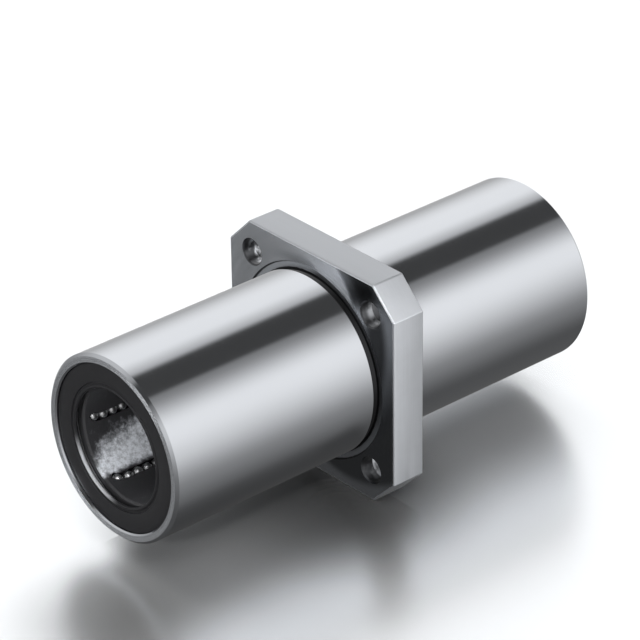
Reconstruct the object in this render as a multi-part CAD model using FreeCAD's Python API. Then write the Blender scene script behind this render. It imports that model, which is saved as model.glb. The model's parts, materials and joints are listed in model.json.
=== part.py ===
"""Linear ball bushing of double length, with a square flange at its middle.

The sleeve and its flange are one hardened and ground piece. Each half of it holds a moulded ball
retainer with six closed ball circuits, a snap ring that keeps the retainer in, and an end seal
backed by a steel washer.

The bearing's axis is X, with the front end at -X. The flange is square to Y and Z, and the origin
lies on the axis in the middle of the flange. Depth is measured inwards from an end face.
"""
import FreeCAD, Part
import math
import os

from FreeCAD import Vector

# Shaft and sleeve, whose wall is measured over the pockets of the return rows
shaft_diameter = 25.0
sleeve_wall = 3.6
sleeve_length = 112.0
sleeve_end_chamfer = 0.6
end_wall = 2.1
mouth_chamfer = 0.3

# Square flange, measured from the sleeve outwards
flange_overhang = 5.0
flange_thickness = 8.0
flange_corner_wall = 0.97
flange_edge_chamfer = 0.35

# Turned recesses round the sleeve in the faces of the flange, and the grinding relief on the sleeve
front_recess_width = 1.6
rear_recess_width = 0.5
recess_depth = 0.5
relief_width = 1.7
relief_depth = 0.5

# Bolt holes, plain on the front face and counterbored from the rear face
bolt_stand_off = 5.5
bolt_count = 4
bolt_hole_diameter = 5.5
bolt_hole_chamfer = 0.3
counterbore_diameter = 9.0
counterbore_depth = 5.1

# Balls and their closed circuits
ball_diameter = 2.381
ball_spacing = 0.05
turn_spacing = 0.07
circuit_count = 6
first_circuit_angle = -4.0
return_lift = 1.36
balls_per_turn = 3

# Ball retainer
shaft_clearance = 0.15
channel_clearance = 0.1
slot_width = 1.7
slot_flare_angle = 60.0
channel_end_wall = 0.45
retainer_collar = 1.6
retainer_clearance = 0.1
nose_wall = 0.3
bore_chamfer = 0.4

# Raceway lands inside the sleeve, and the shoulder between the two retainers
land_clearance = 0.06
land_width = 3.4
land_setback = 0.3
land_recess_clearance = 0.14
land_side_clearance = 0.2
return_clearance = 0.159
shoulder_width = 10.0

# End seal, its steel washer and the snap ring, in depth order
seal_inset = 0.6
seal_thickness = 1.7
seal_edge_chamfer = 0.25
seal_face_width = 3.5
seal_lip_thickness = 0.35
seal_dish = 0.15
seal_back_width = 1.5
washer_thickness = 0.55
washer_width = 3.4
snap_ring_thickness = 1.2
snap_ring_gap_angle = 24.0
snap_groove_depth = 0.6

# Clearances between pieces that seat on each other
seat_clearance = 0.03
end_play = 0.05

# Radii, from the shaft outwards
shaft_radius = shaft_diameter / 2
ball_radius = ball_diameter / 2
load_radius = shaft_radius + ball_radius
return_radius = load_radius + return_lift
land_radius = shaft_radius + ball_diameter + land_clearance
pocket_radius = return_radius + ball_radius + return_clearance
sleeve_radius = pocket_radius + sleeve_wall
relief_radius = sleeve_radius - relief_depth
front_recess_radius = sleeve_radius + front_recess_width
rear_recess_radius = sleeve_radius + rear_recess_width
seat_radius = sleeve_radius - end_wall
groove_radius = seat_radius + snap_groove_depth
retainer_bore_radius = shaft_radius + shaft_clearance
retainer_radius = pocket_radius - retainer_clearance
land_recess_radius = land_radius - land_recess_clearance
channel_radius = ball_radius + channel_clearance

# Flange outline and bolt circle, with a wall left between each counterbore and its cut corner
flange_size = 2 * (sleeve_radius + flange_overhang)
bolt_radius = sleeve_radius + bolt_stand_off
corner_distance = bolt_radius + counterbore_diameter / 2 + flange_corner_wall
flange_corner_cut = flange_size - math.sqrt(2) * corner_distance

# Ball pitch along a row, and the radius of a turn whose balls lie an equal angle apart
row_pitch = ball_diameter + ball_spacing
turn_step = 180.0 / balls_per_turn
turn_radius = (ball_diameter + turn_spacing) / (2 * math.sin(math.radians(turn_step / 2)))

# Each circuit lies in a plane through its load row and its raised return row
row_distance = 2 * turn_radius
return_height = (return_radius ** 2 - row_distance ** 2 - load_radius ** 2) / (2 * load_radius)
circuit_tilt = math.asin(return_height / row_distance)
turn_middle_radius = math.hypot(
    load_radius + turn_radius * math.sin(circuit_tilt),
    turn_radius * math.cos(circuit_tilt),
)
nose_radius = turn_middle_radius + ball_radius + nose_wall

# Depths from an end face
half_length = sleeve_length / 2
seal_depth = seal_inset
washer_depth = seal_depth + seal_thickness
snap_depth = washer_depth + washer_thickness + end_play
retainer_depth = snap_depth + end_play
collar_depth = snap_depth + snap_ring_thickness + end_play
collar_end_depth = collar_depth + retainer_collar
shoulder_depth = half_length - shoulder_width / 2
retainer_end_depth = shoulder_depth - end_play
turn_room = channel_end_wall + channel_radius + turn_radius
row_depth = retainer_depth + turn_room
balls_per_row = int((retainer_end_depth - turn_room - row_depth) / row_pitch)
row_end_depth = row_depth + balls_per_row * row_pitch

# Reach of a cutting tool past the piece that it cuts
overshoot = 2.0

AXIS = Vector(1, 0, 0)
ENDS = {"front": -1, "rear": 1}


def station(end, depth):
    """Place along X of a depth from the front or the rear end face."""
    return ENDS[end] * (half_length - depth)


def polar(radius, angle):
    """Point at a radius and an angle in degrees about the bearing's axis."""
    turn = math.radians(angle)
    return Vector(0, radius * math.cos(turn), radius * math.sin(turn))


def turned(profile, start=0.0, sweep=360.0):
    """Solid turned about the axis from a closed outline of (x, radius) points."""
    outline = Part.makePolygon([Vector(x, radius, 0) for x, radius in profile + profile[:1]])
    face = Part.Face(outline)
    face.rotate(Vector(0, 0, 0), AXIS, start)
    return face.revolve(Vector(0, 0, 0), AXIS, sweep)


def turned_at_end(end, profile, start=0.0, sweep=360.0):
    """Solid turned from (depth, radius) points that are measured from one end face."""
    return turned([(station(end, depth), radius) for depth, radius in profile], start, sweep)


def rod(radius, x_from, x_to):
    """Plain cylinder on the bearing's axis."""
    low = min(x_from, x_to)
    return Part.makeCylinder(radius, abs(x_to - x_from), Vector(low, 0, 0), AXIS)


def bar(angle, width, inner, outer, x_from, x_to):
    """Straight bar along X, between two radii, centred on an angle about the axis."""
    low = min(x_from, x_to)
    box = Part.makeBox(abs(x_to - x_from), outer - inner, width, Vector(low, inner, -width / 2))
    box.rotate(Vector(0, 0, 0), AXIS, angle)
    return box


def circuit_angles():
    """Angles of the load rows about the bearing's axis."""
    return [first_circuit_angle + k * 360.0 / circuit_count for k in range(circuit_count)]


# Sleeve and flange

def sleeve_blank():
    """Outside of the sleeve, chamfered at both ends."""
    end = half_length
    slope = sleeve_end_chamfer
    return turned([
        (-end, 0),
        (-end, sleeve_radius - slope),
        (-end + slope, sleeve_radius),
        (end - slope, sleeve_radius),
        (end, sleeve_radius - slope),
        (end, 0),
    ])


def flange_plate():
    """Square plate with cut corners and broken edges."""
    half = flange_size / 2
    flat = half - flange_corner_cut
    front = -flange_thickness / 2
    corners = [
        (half, flat), (flat, half), (-flat, half), (-half, flat),
        (-half, -flat), (-flat, -half), (flat, -half), (half, -flat),
    ]
    points = [Vector(front, y, z) for y, z in corners + corners[:1]]
    plate = Part.Face(Part.makePolygon(points)).extrude(AXIS * flange_thickness)
    face_edges = [edge for edge in plate.Edges if edge.BoundBox.XLength < flange_thickness / 2]
    return plate.makeChamfer(flange_edge_chamfer, face_edges)


def relief_cutter(side):
    """Grinding relief beside a flange face, with a sloped run-out up to the sleeve."""
    face = side * flange_thickness / 2
    return turned([
        (face, relief_radius),
        (face + side * (relief_width - relief_depth), relief_radius),
        (face + side * (relief_width + overshoot), sleeve_radius + overshoot),
        (face, sleeve_radius + overshoot),
    ])


def recess_cutter(side, radius):
    """Shallow recess round the sleeve in one face of the flange."""
    face = side * flange_thickness / 2
    floor = face - side * recess_depth
    return turned([
        (floor, relief_radius),
        (face, relief_radius),
        (face, radius),
        (floor, radius),
    ])


def bolt_cutter(angle):
    """Through hole with a broken front edge and a counterbore in the rear face."""
    centre = polar(bolt_radius, angle)
    front = centre - AXIS * (flange_thickness / 2)
    rear = centre + AXIS * (flange_thickness / 2)
    hole_radius = bolt_hole_diameter / 2
    bore_radius = counterbore_diameter / 2
    hole = Part.makeCylinder(hole_radius, flange_thickness + 2 * overshoot, front - AXIS * overshoot, AXIS)
    edge = Part.makeCone(hole_radius + bolt_hole_chamfer, hole_radius, bolt_hole_chamfer, front, AXIS)
    counterbore = Part.makeCylinder(
        bore_radius, counterbore_depth + overshoot, rear - AXIS * counterbore_depth, AXIS
    )
    rear_edge = Part.makeCone(
        bore_radius + bolt_hole_chamfer, bore_radius, bolt_hole_chamfer, rear, AXIS * -1
    )
    return [hole, edge, counterbore, rear_edge]


def end_bore_cutter(end):
    """Seal seat with a chamfered mouth, and the groove of the snap ring behind it."""
    return turned_at_end(end, [
        (-overshoot, 0),
        (-overshoot, seat_radius + mouth_chamfer + overshoot),
        (0, seat_radius + mouth_chamfer),
        (mouth_chamfer, seat_radius),
        (snap_depth - end_play, seat_radius),
        (snap_depth - end_play, groove_radius),
        (collar_depth, groove_radius),
        (collar_depth, 0),
    ])


def pocket_cutter(end):
    """Wide bore round one retainer, less the six raceway lands that stand in it."""
    pocket = rod(pocket_radius, station(end, snap_depth), station(end, shoulder_depth))
    start = station(end, row_depth + land_setback)
    stop = station(end, row_end_depth - land_setback)
    lands = [
        bar(angle, land_width, shaft_radius, sleeve_radius, start, stop)
        for angle in circuit_angles()
    ]
    return pocket.cut(lands)


def flanged_sleeve():
    """Sleeve and flange as one piece."""
    body = sleeve_blank().fuse(flange_plate())
    recesses = [recess_cutter(-1, front_recess_radius), recess_cutter(1, rear_recess_radius)]
    body = body.cut([relief_cutter(-1), relief_cutter(1)] + recesses)
    bolts = []
    for k in range(bolt_count):
        bolts += bolt_cutter(45.0 + k * 360.0 / bolt_count)
    body = body.cut(bolts)
    body = body.cut(rod(land_radius, -half_length - overshoot, half_length + overshoot))
    for end in ENDS:
        body = body.cut([end_bore_cutter(end), pocket_cutter(end)])
    return body.removeSplitter()


# Ball circuits

class Circuit:
    """One closed ball track: a load row, a return row and the two turns between them."""

    def __init__(self, end, angle):
        self.end = end
        outward = polar(1.0, angle)
        sideways = polar(1.0, angle + 90.0)
        self.across = outward * math.sin(circuit_tilt) + sideways * math.cos(circuit_tilt)
        self.normal = outward * math.cos(circuit_tilt) - sideways * math.sin(circuit_tilt)
        self.load_line = polar(load_radius, angle)
        self.return_line = self.load_line + self.across * row_distance
        self.turn_line = self.load_line + self.across * turn_radius

    def row(self, line):
        """Balls of a straight row, set half a pitch in from each end of it."""
        depths = [row_depth + (k + 0.5) * row_pitch for k in range(balls_per_row)]
        return [self.ball(line + AXIS * station(self.end, depth)) for depth in depths]

    def turn(self, depth, outwards):
        """Balls of the turn at one end of the rows, spread evenly round it."""
        centre = self.turn_line + AXIS * station(self.end, depth)
        away = AXIS * (ENDS[self.end] * outwards)
        balls = []
        for k in range(balls_per_turn):
            swing = math.radians((k + 0.5) * turn_step)
            spoke = away * math.sin(swing) - self.across * math.cos(swing)
            balls.append(self.ball(centre + spoke * turn_radius))
        return balls

    def ball(self, centre):
        return Part.makeSphere(ball_radius, centre)

    def groups(self):
        """The circuit's balls by the stretch of track that they are in."""
        return {
            "load_row": self.row(self.load_line),
            "return_row": self.row(self.return_line),
            "outer_turn": self.turn(row_depth, 1),
            "inner_turn": self.turn(row_end_depth, -1),
        }

    def trough_profile(self, line, x):
        """Round-bottomed section of the track, open towards the sleeve."""
        centre = line + AXIS * x
        side = self.across * channel_radius
        height = self.normal * (channel_radius + overshoot)
        left = centre - side
        right = centre + side
        floor = Part.Arc(left, centre - self.normal * channel_radius, right).toShape()
        walls = Part.makePolygon([right, right + height, left + height, left])
        return Part.Face(Part.Wire([floor] + walls.Edges))

    def slot_profile(self, x):
        """Section of the slot through which the load row reaches the shaft."""
        centre = self.load_line + AXIS * x
        side = self.across * (slot_width / 2)
        depth = self.normal * -(load_radius - retainer_bore_radius + ball_radius)
        corners = [centre - side, centre + side, centre + side + depth, centre - side + depth]
        return Part.Face(Part.makePolygon(corners + corners[:1]))

    def cutters(self):
        """Tools that cut the track and its slot into the retainer."""
        start = station(self.end, row_depth)
        stop = station(self.end, row_end_depth)
        run = AXIS * (stop - start)
        tools = [
            self.trough_profile(self.load_line, start).extrude(run),
            self.trough_profile(self.return_line, start).extrude(run),
            self.slot_profile(start).extrude(run),
        ]
        for x, spin in ((start, -ENDS[self.end]), (stop, ENDS[self.end])):
            centre = self.turn_line + AXIS * x
            trough = self.trough_profile(self.load_line, x)
            slot = self.slot_profile(x)
            tools.append(trough.revolve(centre, self.normal * spin, 180.0))
            tools.append(slot.revolve(centre, self.normal * spin, slot_flare_angle))
        return tools


# Pieces in the bore

def retainer(end):
    """Moulded cage: a collared tube with six ball tracks and recesses for the raceway lands."""
    bore = retainer_bore_radius
    body = turned_at_end(end, [
        (retainer_depth, bore + bore_chamfer),
        (retainer_depth, nose_radius),
        (collar_depth, nose_radius),
        (collar_depth, retainer_radius),
        (retainer_end_depth - bore_chamfer, retainer_radius),
        (retainer_end_depth, retainer_radius - bore_chamfer),
        (retainer_end_depth, bore),
        (retainer_depth + bore_chamfer, bore),
    ])
    recess_width_over_land = land_width + 2 * land_side_clearance
    start = station(end, collar_end_depth)
    stop = station(end, retainer_end_depth + overshoot)
    for angle in circuit_angles():
        recess = bar(angle, recess_width_over_land, land_recess_radius, sleeve_radius, start, stop)
        body = body.cut([recess] + Circuit(end, angle).cutters())
    return body.removeSplitter()


def end_seal(end):
    """Rubber ring with a dished inner zone and a thin lip that wipes the shaft."""
    outer = seat_radius - seat_clearance
    face_edge = outer - seal_face_width
    lip_front = seal_depth + seal_dish
    lip_back = lip_front + seal_lip_thickness
    return turned_at_end(end, [
        (seal_depth + seal_edge_chamfer, outer),
        (seal_depth, outer - seal_edge_chamfer),
        (seal_depth, face_edge),
        (lip_front, shaft_radius + seal_lip_thickness),
        (lip_front + seal_lip_thickness / 2, shaft_radius),
        (lip_back, shaft_radius),
        (washer_depth, shaft_radius + seal_back_width),
        (washer_depth, outer),
    ])


def seal_washer(end):
    """Steel washer that stiffens the seal from behind."""
    outer = seat_radius - seat_clearance
    back = washer_depth + washer_thickness
    return turned_at_end(end, [
        (washer_depth, outer),
        (back, outer),
        (back, outer - washer_width),
        (washer_depth, outer - washer_width),
    ])


def snap_ring(end):
    """Open spring ring in its groove, over the retainer's nose and against its collar."""
    outer = groove_radius - retainer_clearance
    inner = nose_radius + retainer_clearance
    back = snap_depth + snap_ring_thickness
    profile = [(snap_depth, outer), (back, outer), (back, inner), (snap_depth, inner)]
    start = 90.0 + snap_ring_gap_angle / 2
    return turned_at_end(end, profile, start, 360.0 - snap_ring_gap_angle)


def build():
    """All pieces by name."""
    pieces = {"flanged_sleeve": flanged_sleeve()}
    for end in ENDS:
        pieces[end + "_retainer"] = retainer(end)
        pieces[end + "_seal"] = end_seal(end)
        pieces[end + "_seal_washer"] = seal_washer(end)
        pieces[end + "_snap_ring"] = snap_ring(end)
        for number, angle in enumerate(circuit_angles(), start=1):
            for stretch, balls in Circuit(end, angle).groups().items():
                pieces["%s_%s_balls_%d" % (end, stretch, number)] = Part.makeCompound(balls)
    return pieces


os.makedirs("parts", exist_ok=True)
for name, shape in build().items():
    shape.exportStep("parts/" + name + ".step")
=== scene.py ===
"""Looks of a double-length linear ball bearing with a square flange at its middle.

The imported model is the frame. This file builds the ground sleeve with its flange, the end seals and
the balls as finished meshes round it, gives the cages and rings their finishes, and sets the studio.
The bearing's axis is X, its front end is at -X and its flange stands on its lower edge.
"""

import json
import math

import bmesh
import bpy
from bpy.props import FloatProperty, FloatVectorProperty, IntProperty, PointerProperty
from mathutils import Matrix, Vector
from mathutils.geometry import delaunay_2d_cdt


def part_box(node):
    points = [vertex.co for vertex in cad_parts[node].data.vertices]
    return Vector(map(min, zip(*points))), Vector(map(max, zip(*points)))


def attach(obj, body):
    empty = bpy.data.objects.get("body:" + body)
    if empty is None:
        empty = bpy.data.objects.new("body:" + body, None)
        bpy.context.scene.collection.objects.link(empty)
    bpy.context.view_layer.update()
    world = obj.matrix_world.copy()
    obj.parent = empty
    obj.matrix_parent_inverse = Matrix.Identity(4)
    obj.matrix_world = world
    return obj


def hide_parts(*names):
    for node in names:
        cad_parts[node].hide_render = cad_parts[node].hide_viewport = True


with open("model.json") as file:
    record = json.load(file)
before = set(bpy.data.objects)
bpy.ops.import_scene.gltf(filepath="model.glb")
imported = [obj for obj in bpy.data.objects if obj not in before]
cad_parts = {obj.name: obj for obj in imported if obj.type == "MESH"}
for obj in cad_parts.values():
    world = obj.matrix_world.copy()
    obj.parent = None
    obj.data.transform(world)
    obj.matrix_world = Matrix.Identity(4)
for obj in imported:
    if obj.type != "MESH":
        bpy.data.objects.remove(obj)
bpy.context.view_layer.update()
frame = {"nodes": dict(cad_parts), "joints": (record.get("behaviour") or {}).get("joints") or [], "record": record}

bl_info = {
    "name": "Square Flange Linear Bearing",
    "version": (1, 0, 0),
    "blender": (4, 5, 0),
    "location": "3D Viewport > Sidebar > Bearing",
    "description": "Builds the finished pieces of a flanged linear ball bearing round its packed model",
    "category": "Object",
}

MM = 0.001
ENDS = {"front": -1, "rear": 1}
HOUSING = "housing"
MOUNTS = {mount["name"]: mount for mount in frame["record"]["mounts"]}
JOINTS = {joint["name"]: joint for joint in frame["joints"]}
CIRCUITS = sum(1 for name in frame["nodes"] if name.startswith("front_load_row_balls_"))

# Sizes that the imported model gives
SLEEVE_LOW, SLEEVE_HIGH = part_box("flanged_sleeve")
HALF_LENGTH = SLEEVE_HIGH.x
FLANGE_HALF = SLEEVE_HIGH.z
FLOOR_LEVEL = SLEEVE_LOW.z
FLANGE_FACE = MOUNTS["flange_rear_face"]["pos_m"][0]
SLEEVE_RADIUS = MOUNTS["body_front"]["dims"]["r_mm"] * MM
CAGE_BORE_RADIUS = MOUNTS["shaft_bore"]["dims"]["r_mm"] * MM
BOLT_CIRCLE_RADIUS = MOUNTS["flange_bolts"]["dims"]["pcd_mm"] / 2 * MM
BOLT_HOLE_RADIUS = MOUNTS["flange_bolts"]["dims"]["hole_r_mm"] * MM
BOLT_COUNT = MOUNTS["flange_bolts"]["dims"]["count"]

# Places and measures that the finishes go by, angles in degrees
MICRON = 0.000001
FRONT_RECESS = 1.6
RECESS_RADIUS = SLEEVE_RADIUS + FRONT_RECESS * MM
# Radii of the recess floor's bright band, with painted shade in the corners outside it
RECESS_BAND = [SLEEVE_RADIUS + gap * MM for gap in (0.05, 0.2, 1.15, 1.4)]
# Radius inside which, and angles between which, the seals' lips carry a painted highlight
LIP_HIGHLIGHT_RADIUS = CAGE_BORE_RADIUS + 0.5 * MM
LIP_HIGHLIGHT_ANGLES = (-92.0, -66.0, -34.0, -8.0)
SWEEP_PER_METRE = 4850.0
# Angles on the flange's faces of the painted shade, of its darkest part and of the painted shade next to the
# recess
PAINTED_SHADE_ANGLES = (-88.0, -76.0, 46.0, 55.0)
DARKEST_SHADE_ANGLES = (0.0, 16.0, 30.0, 50.0)
RECESS_SHADE_ANGLES = (80.0, 87.0, 98.0, 116.0)
# Angles of the painted shade on one side of the recess floor
SIDE_SHADE_ANGLES = (-30.0, 0.0, 82.0, 94.0)
# Depths, slant and turn of the painted pool of light in the cages' bores
LIGHT_POOL_DEPTHS = [depth * MM for depth in (-1.0, 4.0, 12.0, 21.0)]
LIGHT_POOL_SLANT_PER_DEGREE = math.radians(6.0) * MM
LIGHT_POOL_TURN_PER_METRE = 1000.0

# Fineness of the meshes
MERGE_DISTANCE = 1e-7
SMOOTH_ANGLE = math.radians(25)
ROUND_STEPS = 4
LIP_STEPS = 12
HOLE_SEGMENTS = 48
RING_SEGMENTS = 240


def length(name, default, description):
    """A size in metres, given in millimetres."""
    return FloatProperty(name=name, description=description, default=default * MM, unit="LENGTH", precision=5)


def amount(name, default, least, description):
    """A whole number."""
    return IntProperty(name=name, description=description, default=default, min=least)


def share(name, default, description):
    """A number from 0 to 1."""
    return FloatProperty(
        name=name, description=description, default=default, min=0.0, max=1.0, subtype="FACTOR"
    )


def tint(name, default, description):
    """A linear colour."""
    return FloatVectorProperty(
        name=name, description=description, default=default, size=3, min=0.0, max=1.0, subtype="COLOR"
    )


def angle(name, default, description):
    """An angle, given in degrees."""
    return FloatProperty(
        name=name, description=description, default=math.radians(default), subtype="ANGLE", unit="ROTATION"
    )


# Node trees

def times(colour, factor):
    """A colour made darker or brighter."""
    return [factor * part for part in colour]


def empty_tree(block):
    """Node tree of a new material or world, cleared."""
    block.use_nodes = True
    block.node_tree.nodes.clear()
    return block.node_tree


class Value:
    """An output socket. Python's operators add Math nodes to it, so they are for plain numbers alone."""

    def __init__(self, tree, socket):
        self.tree = tree
        self.socket = socket

    def math(self, operation, *others):
        node = self.tree.tree.nodes.new("ShaderNodeMath")
        node.operation = operation
        for socket, value in zip(node.inputs, (self, *others)):
            self.tree.feed(socket, value)
        return Value(self.tree, node.outputs[0])

    def __add__(self, other):
        return self.math("ADD", other)

    def __sub__(self, other):
        return self.math("SUBTRACT", other)

    def __rsub__(self, other):
        return (self * -1.0) + other

    def __mul__(self, other):
        return self.math("MULTIPLY", other)

    def __pow__(self, other):
        return self.math("POWER", other)

    __radd__ = __add__
    __rmul__ = __mul__

    def absolute(self):
        return self.math("ABSOLUTE")

    def in_degrees(self):
        return self * math.degrees(1.0)

    def rise(self, start, end):
        """Smooth step from 0 at start to 1 at end."""
        inputs = {"Value": self, "From Min": start, "From Max": end}
        return self.tree.add("ShaderNodeMapRange", inputs, interpolation_type="SMOOTHSTEP")["Result"]

    def between(self, start, full, fading, end):
        """1 between full and fading, with smooth flanks out to start and end."""
        return self.rise(start, full) * (1.0 - self.rise(fading, end))


class Outputs:
    """The outputs of one node by name."""

    def __init__(self, tree, node):
        self.tree = tree
        self.node = node

    def __getitem__(self, name):
        return Value(self.tree, self.node.outputs[name])


class Tree:
    """A node tree with one method that adds any kind of node."""

    def __init__(self, tree):
        self.tree = tree

    def feed(self, socket, value):
        if isinstance(value, Value):
            self.tree.links.new(value.socket, socket)
        else:
            socket.default_value = value

    def add(self, kind, inputs=None, **settings):
        node = self.tree.nodes.new(kind)
        for name, value in settings.items():
            setattr(node, name, value)
        for name, value in (inputs or {}).items():
            self.feed(node.inputs[name], value)
        return Outputs(self, node)

    def mixed(self, factor, first, second):
        """Colour that goes from first to second as the factor rises."""
        first, second = (end if isinstance(end, Value) else (*end, 1.0) for end in (first, second))
        return self.add("ShaderNodeMix", {0: factor, 6: first, 7: second}, data_type="RGBA")[2]

    def blended(self, factor, first, second):
        """Shader that goes from first to second as the factor rises."""
        return self.add("ShaderNodeMixShader", {0: factor, 1: first, 2: second})["Shader"]

    def vectors(self, operation, *vectors, outcome="Vector"):
        """Vector Math on some vectors, with a vector or a number as its outcome."""
        return self.add("ShaderNodeVectorMath", dict(enumerate(vectors)), operation=operation)[outcome]

    def parts(self, vector):
        """X, Y and Z of a vector, by name."""
        return self.add("ShaderNodeSeparateXYZ", {"Vector": vector})

    def bands(self, along, scale):
        """Noise along one number alone, for fine grooves and rings."""
        inputs = {"W": along, "Scale": scale, "Detail": 1.0}
        return self.add("ShaderNodeTexNoise", inputs, noise_dimensions="1D")["Fac"]


class Material(Tree):
    """A new material with one Principled shader, in the piece's own coordinates in metres."""

    def __init__(self, name, **constants):
        self.material = bpy.data.materials.new(name)
        super().__init__(empty_tree(self.material))
        self.shader = self.tree.nodes.new("ShaderNodeBsdfPrincipled")
        output = self.tree.nodes.new("ShaderNodeOutputMaterial")
        self.tree.links.new(self.shader.outputs[0], output.inputs["Surface"])
        for socket, value in constants.items():
            self.shader.inputs[socket.replace("_", " ")].default_value = value
        self.point = self.add("ShaderNodeTexCoord")["Object"]
        parts = self.parts(self.point)
        self.x, self.y, self.z = parts["X"], parts["Y"], parts["Z"]

    def noise(self, scale, detail=2.0, roughness=0.5):
        """Noise of about 0 to 1 over the piece, with one scale or with one for each axis."""
        point = self.point
        if isinstance(scale, tuple):
            point = self.add("ShaderNodeMapping", {"Vector": point, "Scale": scale})["Vector"]
            scale = 1.0
        inputs = {"Vector": point, "Scale": scale, "Detail": detail, "Roughness": roughness}
        return self.add("ShaderNodeTexNoise", inputs)["Fac"]

    def radius(self):
        """Distance from the bearing's axis."""
        return (self.y * self.y + self.z * self.z) ** 0.5

    def turn(self, start=1.0):
        """Angle about the bearing's axis towards +Z in degrees, from +Y or, with a start of -1, from -Y."""
        return self.z.math("ARCTAN2", self.y * start).in_degrees()

    def colour(self, factor, first, second):
        self.feed(self.shader.inputs["Base Color"], self.mixed(factor, first, second))

    def rough(self, value):
        self.feed(self.shader.inputs["Roughness"], value)

    def bump(self, height, depth):
        """Raises the surface by a height of 0 to 1 times a depth in metres."""
        bumped = self.add("ShaderNodeBump", {"Height": height * depth, "Distance": 1.0})["Normal"]
        self.feed(self.shader.inputs["Normal"], bumped)

    def grooved(self, wave, strength):
        """Tips the surface towards and away from the bearing's axis, as fine turned grooves do."""
        flat = self.add("ShaderNodeCombineXYZ", {"X": 0.0, "Y": self.y, "Z": self.z})["Vector"]
        outward = self.vectors("NORMALIZE", flat)
        inputs = {0: outward, "Scale": (wave - 0.5) * strength}
        tilt = self.add("ShaderNodeVectorMath", inputs, operation="SCALE")["Vector"]
        normal = self.add("ShaderNodeNewGeometry")["Normal"]
        self.feed(self.shader.inputs["Normal"], self.vectors("ADD", normal, tilt))

    def follow(self, pattern, colour, shades, rough, depth):
        """Lets one pattern set the shade, the roughness (least, and how much is added) and the height."""
        self.colour(pattern, times(colour, shades[0]), times(colour, shades[1]))
        self.rough(rough[0] + pattern * rough[1])
        self.bump(pattern, depth)


# Meshes

def linked(name, data):
    """New object in the scene."""
    piece = bpy.data.objects.new(name, data)
    bpy.context.scene.collection.objects.link(piece)
    return piece


def put_in_scene(name, mesh, finishes):
    """Object at the origin with its finishes, smooth but for its sharp edges."""
    for finish in finishes:
        mesh.materials.append(finish)
    mesh.shade_smooth()
    mesh.set_sharp_from_angle(angle=SMOOTH_ANGLE)
    return linked(name, mesh)


def closed_mesh(name, bm):
    """Mesh of a closed surface, its doubles merged and its faces turned outwards."""
    bmesh.ops.remove_doubles(bm, verts=bm.verts, dist=MERGE_DISTANCE)
    bmesh.ops.dissolve_degenerate(bm, edges=bm.edges, dist=MERGE_DISTANCE)
    bmesh.ops.recalc_face_normals(bm, faces=bm.faces)
    open_edges = sum(1 for edge in bm.edges if not edge.is_manifold)
    if open_edges:
        raise RuntimeError("%s has %d open edges" % (name, open_edges))
    mesh = bpy.data.meshes.new(name)
    bm.to_mesh(mesh)
    bm.free()
    return mesh


def skin(bm, first, second, finish):
    """Quads between two rings of as many corners."""
    for k in range(len(first)):
        after = (k + 1) % len(first)
        face = bm.faces.new((first[k], first[after], second[after], second[k]))
        face.material_index = finish


def skinned(bm, rings, finish):
    """Quads from each ring of a row to the next."""
    for first, second in zip(rings, rings[1:]):
        skin(bm, first, second, finish)


def circle(bm, x, radius, segments, centre=(0.0, 0.0)):
    """Ring of corners round an axis parallel to X."""
    step = math.tau / segments
    return [
        bm.verts.new((x, centre[0] + radius * math.cos(k * step), centre[1] + radius * math.sin(k * step)))
        for k in range(segments)
    ]


def turned_mesh(name, profile, segments):
    """Closed ring turned from a loop of (x, radius) points."""
    bm = bmesh.new()
    rings = [circle(bm, x, radius, segments) for x, radius in profile]
    skin(bm, rings[-1], rings[0], 0)
    skinned(bm, rings, 0)
    return closed_mesh(name, bm)


# Flanged sleeve

class SleeveSizes(bpy.types.PropertyGroup):
    """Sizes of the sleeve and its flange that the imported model's box and mounts don't give."""

    segments: amount("Segments", 40, 16, "Corners of the sleeve's rings for each raceway land")
    end_chamfer: length("End chamfer", 0.6, "Chamfer on the outer edge of each end")
    end_wall: length("End wall", 2.1, "Wall of the sleeve round each seal")
    mouth_chamfer: length("Mouth chamfer", 0.3, "Chamfer on the inner edge of each end")
    relief_width: length("Relief width", 1.0, "Width of the grinding relief beside the flange")
    relief_depth: length("Relief depth", 0.5, "Depth of the grinding relief")
    front_recess: length("Front recess", FRONT_RECESS, "Width of the turned recess in the front flange face")
    rear_recess: length("Rear recess", 0.5, "Width of the turned recess in the rear flange face")
    recess_depth: length("Recess depth", 0.5, "Depth of both recesses")
    hub_overlap: length("Hub overlap", 0.3, "How far the flange reaches into the sleeve's wall")
    corner_wall: length("Corner wall", 0.97, "Wall between a counterbore and its cut corner")
    edge_round: length("Edge round", 0.35, "Rounding of the flange's face edges")
    corner_round: length("Corner round", 0.45, "Rounding between the flange's sides")
    hole_chamfer: length("Hole chamfer", 0.3, "Chamfer at each end of a bolt hole")
    counterbore_radius: length("Counterbore radius", 4.5, "Radius of a counterbore in the rear face")
    counterbore_depth: length("Counterbore depth", 5.1, "Depth of a counterbore")
    groove_start: length("Groove start", 2.85, "Depth from the end face to the snap ring's groove")
    groove_end: length("Groove end", 4.15, "Depth from the end face to the groove's far side")
    groove_depth: length("Groove depth", 0.6, "Depth of the snap ring's groove")
    pocket_radius: length("Pocket radius", 16.4, "Bore over the return rows")
    land_radius: length("Land radius", 14.941, "Bore over the raceway lands")
    land_width: length("Land width", 3.4, "Width of a raceway land")
    land_start: length("Land start", 7.44, "Depth from the end face to the lands")
    land_end: length("Land end", 45.74, "Depth from the end face to the far end of the lands")
    first_land: angle("First land", -4.0, "Angle of the first raceway land about the axis")
    shoulder: length("Shoulder", 5.0, "Half width of the shoulder between the cages")


# Places of the sleeve's finishes and of the flange's finishes in their lists
GROUND, TURNED, BORED, DARK = range(4)
FACED, MILLED, HARDENED, RECESS = range(4)


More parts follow.
